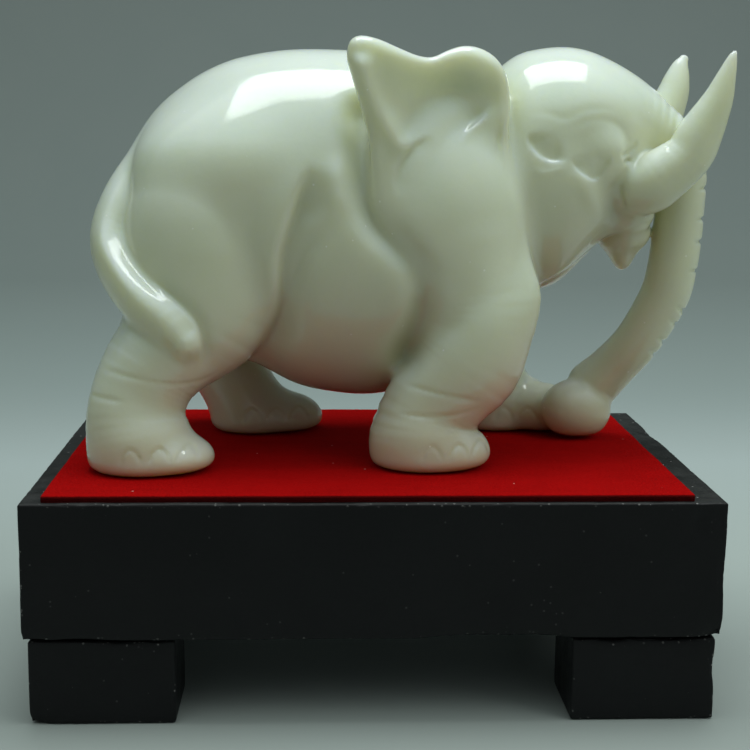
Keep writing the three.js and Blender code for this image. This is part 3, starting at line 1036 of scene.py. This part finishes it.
def jade_material():
    """Polished pale stone: light sinks in a few millimetres, clouds of denser stone, tiny pits; a painted
    reflection of the ceiling on faces that look up, and painted shade in hollows, in creases, on faces that
    look down and near the soles.
    """
    s = Shader("jade")
    clouds = s.noise(26, 4, 0.55, 0.6)
    grain = s.noise(700, 4, 0.7)
    colour = s.ramp(clouds, [(0.3, (0.63, 0.73, 0.575)), (0.7, (0.71, 0.79, 0.66))])
    colour = s.mix(s.math("MULTIPLY", grain, 0.25), colour, (0.86, 0.91, 0.84))
    facing = s.upward()
    # painted reflection: faces that look up are mixed towards a cool near-white, in place of the bright
    # ceiling mirrored in the polish
    above = s.ramp(facing, [(0.3, 0.0), (0.9, 1.0)])
    colour = s.mix(s.math("MULTIPLY", above, 0.6), colour, (0.80, 0.85, 0.845))
    # painted shade: grooves and hollows within about 12 mm are mixed towards a dark olive
    painted_hollow_shade = s.ramp(s.openness(0.012), [(0.3, 1.0), (0.9, 0.0)])
    colour = s.mix(s.math("MULTIPLY", painted_hollow_shade, 0.5), colour, (0.56, 0.58, 0.30))
    # painted shade: tight creases are mixed darker still
    painted_crease_shade = s.ramp(s.openness(0.003), [(0.4, 1.0), (0.92, 0.0)])
    colour = s.mix(s.math("MULTIPLY", painted_crease_shade, 0.45), colour, (0.50, 0.52, 0.36))
    # painted shade with painted warm bounce light: faces that look down are mixed towards a dull yellow-brown
    painted_underside_shade = s.ramp(facing, [(0.05, 1.0), (0.55, 0.0)])
    colour = s.mix(s.math("MULTIPLY", painted_underside_shade, 0.5), colour, (0.68, 0.65, 0.42))
    # painted shade: the stone low down near the soles is mixed towards a dull brown
    low = s.ramp(s.height(), [(0.067, 1.0), (0.105, 0.0)])
    colour = s.mix(s.math("MULTIPLY", low, 0.45), colour, (0.58, 0.54, 0.37))
    pits = s.specks(260, 0.08, 0.12)
    colour = s.mix(s.math("MULTIPLY", pits, 0.5), colour, (0.95, 0.97, 0.93))
    s.set(Base_Color=colour, IOR=1.58, Subsurface_Weight=0.75, Subsurface_Scale=0.012,
          Subsurface_Radius=(1.0, 0.95, 0.62), Specular_IOR_Level=0.45)
    s.set(Roughness=s.ramp(s.noise(60, 5, 0.65), [(0.35, 0.07), (0.75, 0.16)]))
    skin_bump = s.bump(s.noise(260, 5, 0.6), 0.0002, 0.28)
    s.bump(s.math("SUBTRACT", 1.0, pits), 0.0002, 0.6, skin_bump)
    return s.material


def velvet_material():
    """Short red nap: dark straight on, brighter at a slant through a little sheen, brushed in patches, with a
    little lint; painted shade darkens the turned-down sides.
    """
    s = Shader("red_velvet")
    brushed = s.noise(55, 3, 0.6, 0.4, (1.0, 2.2, 1.0))
    nap = s.noise(1500, 3, 0.75)
    colour = s.ramp(brushed, [(0.25, (0.22, 0.0012, 0.0015)), (0.75, (0.32, 0.0018, 0.0022))])
    colour = s.mix(s.ramp(nap, [(0.35, 0.0), (0.7, 0.8)]), colour, (0.46, 0.004, 0.004))
    # painted shade: the cloth's turned-down sides are mixed towards near-black red
    painted_side_shade = s.ramp(s.upward(), [(0.25, 1.0), (0.85, 0.0)])
    colour = s.mix(s.math("MULTIPLY", painted_side_shade, 0.8), colour, (0.05, 0.006, 0.006))
    lint = s.specks(420, 0.13, 0.035, (1.0, 0.6, 1.0))
    colour = s.mix(s.math("MULTIPLY", lint, 0.55), colour, (0.8, 0.45, 0.42))
    s.set(Base_Color=colour, Roughness=0.95, Specular_IOR_Level=0.02, Sheen_Weight=0.15, Sheen_Roughness=0.35,
          Sheen_Tint=(1.0, 0.02, 0.02, 1))
    under = s.bump(nap, 0.0005, 0.6)
    s.bump(brushed, 0.0006, 0.25, under)
    return s.material


def paint_material():
    """Black brushed-on paint over wood: faint grain and brush marks, dull, with dust on top and at edges."""
    s = Shader("black_paint")
    grain = s.noise(210, 4, 0.6, 0.3, (0.12, 1.0, 1.0))
    peel = s.noise(900, 3, 0.55)
    geometry = s.tree.nodes.new("ShaderNodeNewGeometry")
    edges = s.ramp(geometry.outputs["Pointiness"], [(0.505, 0.0), (0.56, 1.0)])
    dust = s.noise(140, 4, 0.7)
    top = s.ramp(s.upward(), [(0.6, 0.0), (0.95, 1.0)])
    film = s.math("MULTIPLY", top, s.ramp(dust, [(0.35, 0.0), (0.8, 0.22)]))
    specks = s.specks(560, 0.17, 0.05)
    on_top = s.math("MULTIPLY", specks, s.math("ADD", s.math("MULTIPLY", top, 0.5), 0.06))
    on_edge = s.math("MULTIPLY", s.specks(900, 0.3, 0.25), s.math("MULTIPLY", edges, 0.5))
    colour = s.ramp(s.noise(35, 4, 0.6), [(0.3, (0.0035, 0.0037, 0.0042)), (0.75, (0.006, 0.0063, 0.007))])
    colour = s.mix(film, colour, (0.14, 0.145, 0.14))
    colour = s.mix(s.math("MAXIMUM", on_top, on_edge), colour, (0.55, 0.54, 0.52))
    s.set(Base_Color=colour, Specular_IOR_Level=0.25)
    s.set(Roughness=s.ramp(dust, [(0.3, 0.5), (0.8, 0.68)]))
    under = s.bump(peel, 0.00022, 0.5)
    s.bump(grain, 0.0003, 0.35, under)
    return s.material


def board_material():
    s = Shader("grey_board")
    fibres = s.noise(900, 4, 0.7, 0.5, (0.3, 1.0, 1.0))
    s.set(Base_Color=s.ramp(fibres, [(0.3, (0.2, 0.19, 0.17)), (0.7, (0.34, 0.33, 0.3))]), Roughness=0.9)
    s.bump(fibres, 0.0002, 0.5)
    return s.material


def steel_material():
    s = Shader("zinc_steel")
    turned = s.noise(1800, 2, 0.5, 0.0, (1.0, 1.0, 0.15))
    stain = s.noise(300, 4, 0.6)
    s.set(Base_Color=s.ramp(stain, [(0.35, (0.44, 0.44, 0.43)), (0.7, (0.62, 0.63, 0.64))]), Metallic=1.0)
    s.set(Roughness=s.ramp(turned, [(0.3, 0.28), (0.7, 0.45)]))
    s.bump(turned, 0.00008, 0.4)
    return s.material


def dress_frame():
    """Materials for the CAD nodes that stay in sight."""
    board, steel = board_material(), steel_material()
    for name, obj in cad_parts.items():
        if not obj.hide_render:
            obj.data.materials.clear()
            obj.data.materials.append(board if name == "pad_board" else steel)


# ---- Stage ----

FLOOR_BACK = 0.42  # m behind the middle where the table starts to sweep up
SWEEP_RADIUS = 0.75
STAGE_REACH, STAGE_TOP = 9.0, 3.0  # m, how far the stage goes to the front and sides, and up
SWEEP_STEPS = 24


def sweep_material():
    """Pale grey-green board with painted light: brightest in a band on the table just behind the stand,
    darkening a little towards the camera and up the backdrop.
    """
    s = Shader("sweep")
    along = s.math("ADD", s.part(s.place, "Y"), s.height())
    # painted light: the ramp along the board is brightest just behind the stand and falls off towards the
    # camera and up the backdrop
    tone_with_painted_light = s.ramp(s.math("ADD", s.math("MULTIPLY", along, 0.4), 0.4), [
        (0.1, (0.24, 0.27, 0.25)), (0.34, (0.30, 0.34, 0.32)), (0.44, (0.40, 0.46, 0.44)),
        (0.51, (0.42, 0.49, 0.485)), (0.60, (0.30, 0.36, 0.35)), (0.70, (0.20, 0.24, 0.23)),
        (1.0, (0.20, 0.235, 0.225)),
    ])
    marks = s.noise(9, 6, 0.65, 0.8)
    tone_with_painted_light = s.mix(s.math("MULTIPLY", marks, 0.12), tone_with_painted_light, (0.36, 0.36, 0.33))
    s.set(Base_Color=tone_with_painted_light, Roughness=0.55, Specular_IOR_Level=0.25)
    s.bump(s.noise(300, 3, 0.6), 0.0002, 0.2)
    return s.material


def stage():
    """One pale surface: a table top that sweeps up into a backdrop with no line between them."""
    profile = [(-STAGE_REACH, 0.0), (0.0, 0.0)]
    for k in range(SWEEP_STEPS + 1):
        a = math.radians(90 * k / SWEEP_STEPS)
        profile.append((FLOOR_BACK + SWEEP_RADIUS * math.sin(a), SWEEP_RADIUS * (1 - math.cos(a))))
    profile.append((FLOOR_BACK + SWEEP_RADIUS, STAGE_TOP))
    points = [(x, y, z) for y, z in profile for x in (-STAGE_REACH, STAGE_REACH)]
    quads = [(2 * i, 2 * i + 1, 2 * i + 3, 2 * i + 2) for i in range(len(profile) - 1)]
    mesh_object("sweep", points, quads, sweep_material())


def area_light(name, place, target, size, power, colour):
    data = bpy.data.lights.new(name, "AREA")
    data.shape = "RECTANGLE"
    data.size, data.size_y = size
    data.energy = power
    data.color = colour
    light = bpy.data.objects.new(name, data)
    light.location = place
    direction = Vector(target) - Vector(place)
    light.rotation_euler = direction.to_track_quat("-Z", "Y").to_euler()
    bpy.context.scene.collection.objects.link(light)
    return light


SOFTBOX_SIZE = (0.62, 0.45)
SOFTBOX_RADIANCE = 5.6
FILL_PLACE, FILL_AIM, FILL_POWER = (0.72, -0.4, 0.7), (0.05, 0, 0.14), 2.0
ZENITH, HORIZON = 0.8, 0.02


def lights():
    """A softbox overhead, a weak fill from the right that leaves no highlight, and a dim white ceiling."""
    above = Vector((SOLE_ORIGIN.x + 0.06, 0.08, 0.93))
    power = SOFTBOX_RADIANCE * math.pi * SOFTBOX_SIZE[0] * SOFTBOX_SIZE[1]
    area_light("softbox", above, (above.x, above.y, 0), SOFTBOX_SIZE, power, (0.93, 1.0, 0.985))
    fill = area_light("side_fill", FILL_PLACE, FILL_AIM, (0.6, 0.6), FILL_POWER, (0.95, 1.0, 0.98))
    fill.visible_glossy = False
    world = bpy.data.worlds.new("studio")
    bpy.context.scene.world = world
    world.use_nodes = True
    tree = world.node_tree
    background = tree.nodes["Background"]
    direction = tree.nodes.new("ShaderNodeTexCoord").outputs["Generated"]
    split = tree.nodes.new("ShaderNodeSeparateXYZ")
    tree.links.new(direction, split.inputs[0])
    ramp = tree.nodes.new("ShaderNodeValToRGB")
    ramp.color_ramp.interpolation = "EASE"
    low, high = ramp.color_ramp.elements
    low.position, high.position = 0.0, 1.0
    low.color = (HORIZON * 0.82, HORIZON, HORIZON * 0.96, 1)
    high.color = (ZENITH * 0.9, ZENITH, ZENITH * 0.985, 1)
    tree.links.new(split.outputs["Z"], ramp.inputs["Fac"])
    tree.links.new(ramp.outputs["Color"], background.inputs["Color"])


def camera():
    """The photograph's view: slightly left of the stand's middle, a little above the back, tilted down."""
    data = bpy.data.cameras.new("camera")
    data.sensor_width = 36
    data.lens = 72
    obj = bpy.data.objects.new("camera", data)
    place = Vector((-18.21, -478.12, 166.84)) * MM
    obj.location = place + Vector((SOLE_ORIGIN.x, 0, 0))
    yaw, pitch, roll = math.radians(2.456), math.radians(9.101), math.radians(0.452)
    turn = Matrix.Rotation(-yaw, 4, "Z") @ Matrix.Rotation(math.pi / 2 - pitch, 4, "X")
    obj.rotation_euler = (turn @ Matrix.Rotation(roll, 4, "Z")).to_euler()
    bpy.context.scene.collection.objects.link(obj)
    bpy.context.scene.camera = obj
    data.clip_start = 0.01
    data.clip_end = 20


paint = paint_material()
sculpt_elephant(jade_material())
plinth_piece(paint)
for corner_name in FOOT_CHIPS:
    foot_piece(corner_name, paint)
velvet_piece(velvet_material())
dress_frame()
stage()
lights()
camera()
bpy.context.scene.view_settings.view_transform = "Standard"
